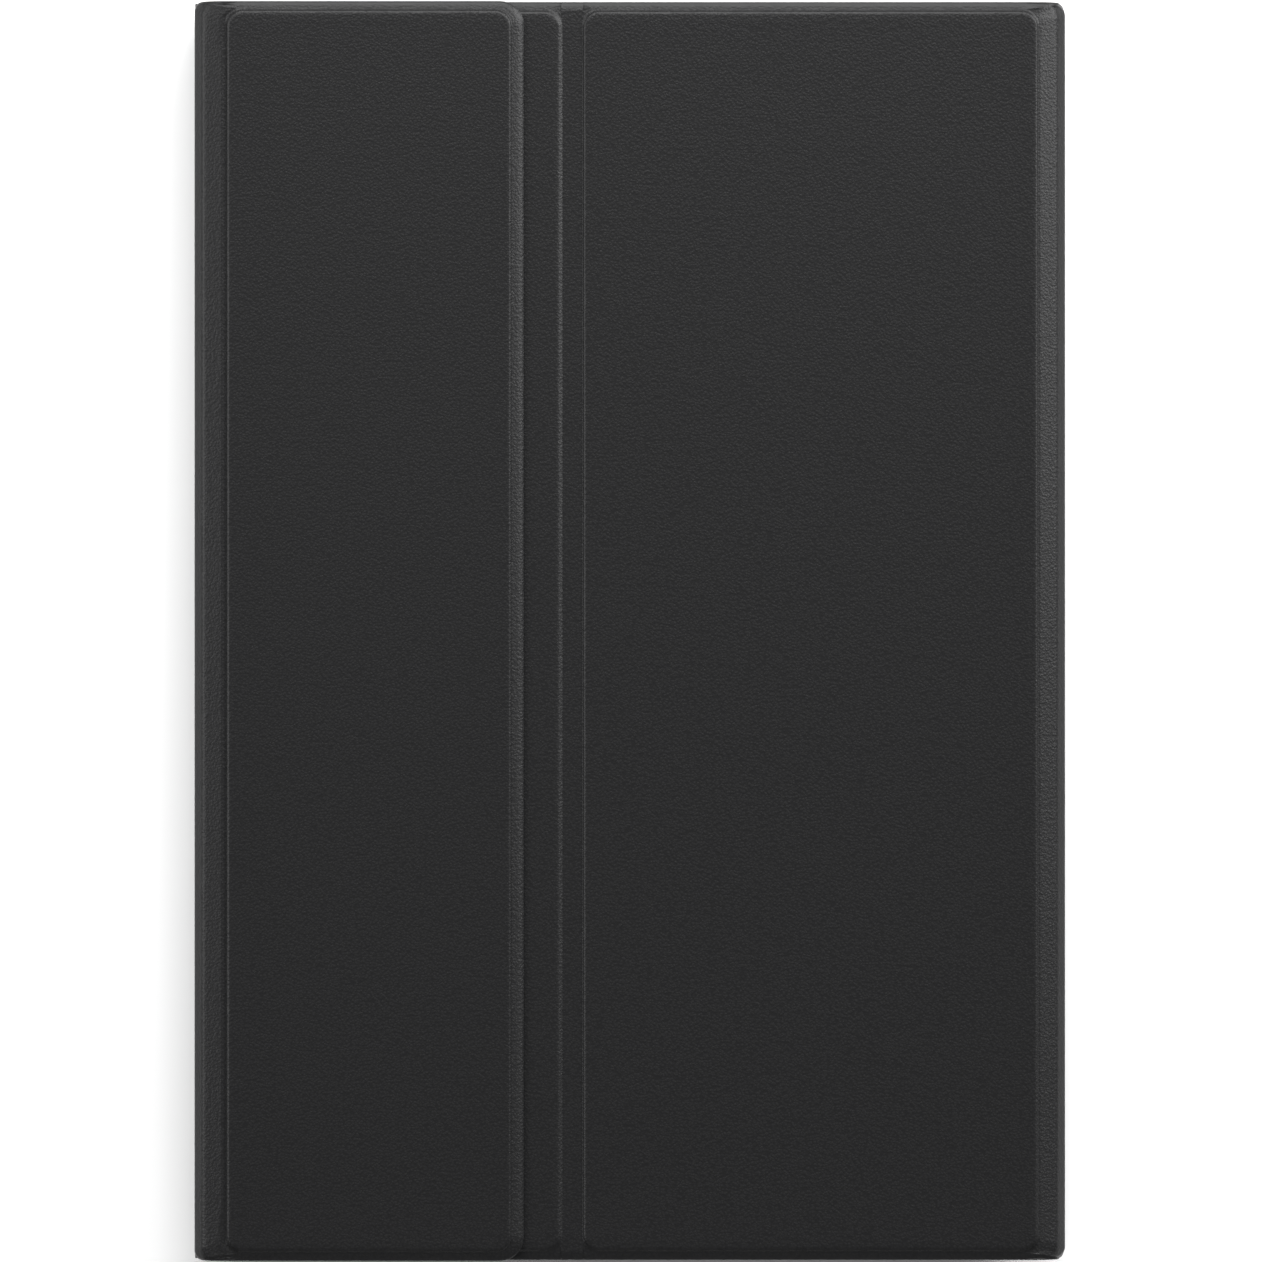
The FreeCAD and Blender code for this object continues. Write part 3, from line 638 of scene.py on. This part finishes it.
# foot and top hold (inset, height) and (inset, below the top) pairs
keyLook = {
    "pitch": 16.2,
    "gap": 1.8,
    "corner": 1.6,
    "cornerTaper": 0.6,
    "leastCorner": 0.3,
    "foot": [(0, 0), (0, 0.25)],
    "top": [(0.14, 0.42), (0.22, 0.2), (0.36, 0.06), (0.56, 0), (2.5, 0)],
    "counts": (3, 3, 6),
    "letter": 3.6,
    "word": 2.7,
    "letterTop": 0.7,
    "arrow": 1.1,
    "arrowCentre": 1.3,
    "left": 2.2,
    "inset": 2.6,
    "raised": 0.012,
}
keyRows = {
    "function_keys": [(word, 1) for word in "esc F1 F2 F3 F4 F5 F6 F7 F8 F9 F10 F11 F12 prt del".split()],
    "number_keys": [(word, 1) for word in "` 1 2 3 4 5 6 7 8 9 0 - =".split()],
    "backspace_key": [("back", 2)],
    "tab_key": [("tab", 1.5)],
    "upper_letter_keys": [(word, 1) for word in "Q W E R T Y U I O P [ ]".split()] + [("\\", 1.5)],
    "caps_lock_key": [("caps", 1.75)],
    "middle_letter_keys": [(word, 1) for word in "A S D F G H J K L ; '".split()],
    "enter_key": [("enter", 2.25)],
    "left_shift_key": [("shift", 2.25)],
    "lower_letter_keys": [(word, 1) for word in "Z X C V B N M , . /".split()],
    "right_shift_key": [("shift", 1.75)],
    "up_arrow_key": [("up", 1)],
    "left_control_key": [("ctrl", 1.25)],
    "function_shift_key": [("fn", 1)],
    "system_key": [("home", 1)],
    "left_alternate_key": [("alt", 1.25)],
    "space_bar": [("", 6.25)],
    "right_alternate_key": [("alt", 1.25)],
    "left_arrow_key": [("left", 1)],
    "down_arrow_key": [("down", 1)],
    "right_arrow_key": [("right", 1)],
}


def capMesh(name, width, depth, height):
    # a low key cap centred over its own origin
    look = keyLook
    steps = look["foot"] + [(inset, height - down) for inset, down in look["top"]]
    rings = []
    for inset, z in steps:
        radius = max(look["corner"] - inset * look["cornerTaper"], look["leastCorner"])
        half, deep = width / 2 - inset, depth / 2 - inset
        ring = ringPoints(half, -deep, deep, (radius, radius), look["counts"])
        rings.append([(x, y, z) for x, y, share in ring])
    points, faces = loft(rings)
    return makeObject(name, points, faces, finishes["key_plastic"])


def repeatNodes():
    # one copy of an object on every point
    group = bpy.data.node_groups.new("repeatCaps", "GeometryNodeTree")
    sockets = [
        ("Places", "INPUT", "Geometry"),
        ("Cap", "INPUT", "Object"),
        ("Finish", "INPUT", "Material"),
        ("Keys", "OUTPUT", "Geometry"),
    ]
    for name, way, kind in sockets:
        group.interface.new_socket(name, in_out=way, socket_type="NodeSocket" + kind)
    enter = group.nodes.new("NodeGroupInput")
    leave = group.nodes.new("NodeGroupOutput")
    info = group.nodes.new("GeometryNodeObjectInfo")
    copies = group.nodes.new("GeometryNodeInstanceOnPoints")
    real = group.nodes.new("GeometryNodeRealizeInstances")
    paint = group.nodes.new("GeometryNodeSetMaterial")
    link = group.links.new
    link(enter.outputs["Places"], copies.inputs["Points"])
    link(enter.outputs["Cap"], info.inputs["Object"])
    link(info.outputs["Geometry"], copies.inputs["Instance"])
    link(copies.outputs["Instances"], real.inputs["Geometry"])
    link(real.outputs["Geometry"], paint.inputs["Geometry"])
    link(enter.outputs["Finish"], paint.inputs["Material"])
    link(paint.outputs["Geometry"], leave.inputs["Keys"])
    return group


capRepeater = repeatNodes()


def repeatCap(name, places, cap, finish):
    # copies of one object, joined into a mesh of its own
    mesh = bpy.data.meshes.new(name + "Places")
    mesh.from_pydata([Vector(p) * mm for p in places], [], [])
    obj = bpy.data.objects.new(name, mesh)
    bpy.context.collection.objects.link(obj)
    modifier = obj.modifiers.new("repeat", "NODES")
    modifier.node_group = capRepeater
    sockets = {item.name: item.identifier for item in capRepeater.interface.items_tree}
    modifier[sockets["Cap"]] = cap
    modifier[sockets["Finish"]] = finishes[finish]
    graph = bpy.context.evaluated_depsgraph_get()
    plain = bpy.data.meshes.new_from_object(obj.evaluated_get(graph))
    obj.modifiers.clear()
    obj.data = plain
    return obj


arrows = {"up": 0, "left": 90, "down": 180, "right": 270}


def legendShape(word):
    # points and faces of one legend, lying flat with its top left corner at the origin
    if word in arrows:
        turn = math.radians(arrows[word])
        centre, reach = keyLook["arrowCentre"], keyLook["arrow"]
        points = []
        for angle in (90, 210, 330):
            a = math.radians(angle) + turn
            points.append((centre + reach * math.cos(a), reach * math.sin(a) - centre, 0))
        return points, [(0, 1, 2)]
    size = keyLook["letter"] if len(word) == 1 else keyLook["word"]
    curve = bpy.data.curves.new("legend", "FONT")
    curve.body = word
    curve.size = size
    curve.resolution_u = 3
    text = bpy.data.objects.new("legend", curve)
    bpy.context.collection.objects.link(text)
    bpy.context.view_layer.update()
    graph = bpy.context.evaluated_depsgraph_get()
    mesh = bpy.data.meshes.new_from_object(text.evaluated_get(graph))
    points = [(v.co.x, v.co.y - size * keyLook["letterTop"], 0) for v in mesh.vertices]
    faces = [tuple(f.vertices) for f in mesh.polygons]
    bpy.data.objects.remove(text)
    bpy.data.curves.remove(curve)
    bpy.data.meshes.remove(mesh)
    return points, faces


# foot, wall and top are shares of the radius and the height
domeLook = {
    "radius": 2.6,
    "pressed": 0.33,
    "around": 20,
    "foot": [(0.3, 0), (0.92, 0), (1, 0.08)],
    "wall": [(0.96, 0.25), (0.78, 0.72), (0.66, 0.9)],
    "top": [(0.5, 1), (0.2, 1)],
}
domeLow, domeHigh = nodeBox("key_domes")


def domeMesh():
    # a rubber dome with a flat top, centred over its own origin
    height = domeHigh.z - domeLow.z
    count = domeLook["around"]
    turns = [2 * math.pi * i / count for i in range(count)]
    rings = []
    for share, rise in domeLook["foot"] + domeLook["wall"] + domeLook["top"]:
        radius = domeLook["radius"] * share
        rings.append([(radius * math.cos(a), radius * math.sin(a), height * rise) for a in turns])
    points, faces = loft(rings)
    return makeObject("domePattern", points, faces, finishes["rubber"])


def makeDomes(node, centres):
    # the domes under one row of keys
    pattern = domeMesh()
    domes = repeatCap(node + "Domes", [(x, y, domeLow.z) for x, y, z in centres], pattern, "rubber")
    bpy.data.objects.remove(pattern)
    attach(domes, "keyboard")
    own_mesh(domes)
    return domes


def makeKeys(node, keys):
    # the caps, legends and domes of one row
    low, high = nodeBox(node)
    gap = keyLook["gap"]
    depth, height = high.y - low.y, high.z - low.z
    middle = (low.y + high.y) / 2
    places, wide, labels = [], [], []
    x = low.x - gap / 2
    for word, units in keys:
        width = units * keyLook["pitch"]
        centre = (x + width / 2, middle, low.z)
        (places if units == 1 else wide).append((centre, width - gap))
        if word:
            labels.append((word, x + gap / 2 + keyLook["left"], high.y - keyLook["inset"]))
        x += width
    made = []
    if places:
        cap = capMesh("capPattern", places[0][1], depth, height)
        made.append(repeatCap(node + "Caps", [place for place, width in places], cap, "key_plastic"))
        bpy.data.objects.remove(cap)
    for place, width in wide:
        cap = capMesh(node + "WideCap", width, depth, height)
        for v in cap.data.vertices:
            v.co += Vector(place) * mm
        made.append(cap)
    points, faces = [], []
    for word, left, top in labels:
        shape, sides = legendShape(word)
        faces += [[i + len(points) for i in face] for face in sides]
        points += [(left + a, top + b, high.z + keyLook["raised"]) for a, b, c in shape]
    if points:
        made.append(makeObject(node + "Legends", points, faces, ink, smooth=False))
    for obj in made:
        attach(obj, node)
    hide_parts(node)
    return makeDomes(node, [place for place, width in places + wide])


domeRows = [makeKeys(node, keys) for node, keys in keyRows.items()]
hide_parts("key_domes")
print("keys made")


roomLook = {
    "floor": (0.72, 0.72, 0.72),
    "floorHalf": 4000,
    "floorDrop": 0.05,
    "sky": 0.10,
    "aim": (0, 0, 0.02),
    "lens": 200,
    "sensor": 36,
    "clip": (0.1, 30),
    "camera": (0, -0.00016, 1.4407),
    "turn": -90,
}

# where each softbox stands, its size and its power, in metres and watts
softboxes = {
    "topBox": ((1.35, 0, 1.35), (1.4, 1.1), 54),
    "rightBox": ((0.75, -1.25, 0.95), (1.0, 0.9), 47),
    "leftBox": ((0.3, 1.5, 1.1), (1.4, 1.0), 29),
    "bottomBox": ((-1.6, 0, 1.0), (1.4, 1.0), 3),
}

floorMaterial = makeSimple("floor", roomLook["floor"], 0.9, specular=0.1, fade=0.0)
half, drop = roomLook["floorHalf"], roomLook["floorDrop"]
floorCorners = [(x * half, y * half, -drop) for x, y in ((-1, -1), (1, -1), (1, 1), (-1, 1))]
floor = makeObject("floor", floorCorners, [[0, 1, 2, 3]], floorMaterial, smooth=False)

world = bpy.data.worlds.new("studio")
bpy.context.scene.world = world
world.use_nodes = True
sky = world.node_tree.nodes["Background"]
sky.inputs["Color"].default_value = (1, 1, 1, 1)
sky.inputs["Strength"].default_value = roomLook["sky"]


def addSoftbox(name, place, size, power):
    data = bpy.data.lights.new(name, "AREA")
    data.shape = "RECTANGLE"
    data.size, data.size_y = size
    data.energy = power
    lamp = bpy.data.objects.new(name, data)
    lamp.location = place
    aim = Vector(roomLook["aim"]) - Vector(place)
    lamp.rotation_euler = aim.to_track_quat("-Z", "Y").to_euler()
    bpy.context.collection.objects.link(lamp)


for name, (place, size, power) in softboxes.items():
    addSoftbox(name, place, size, power)

camera = bpy.data.objects.new("camera", bpy.data.cameras.new("camera"))
camera.data.lens = roomLook["lens"]
camera.data.sensor_width = roomLook["sensor"]
camera.data.clip_start, camera.data.clip_end = roomLook["clip"]
camera.location = roomLook["camera"]
camera.rotation_euler = (0, 0, math.radians(roomLook["turn"]))
bpy.context.collection.objects.link(camera)
bpy.context.scene.camera = camera
bpy.context.scene.view_settings.view_transform = "Standard"
print("room made")
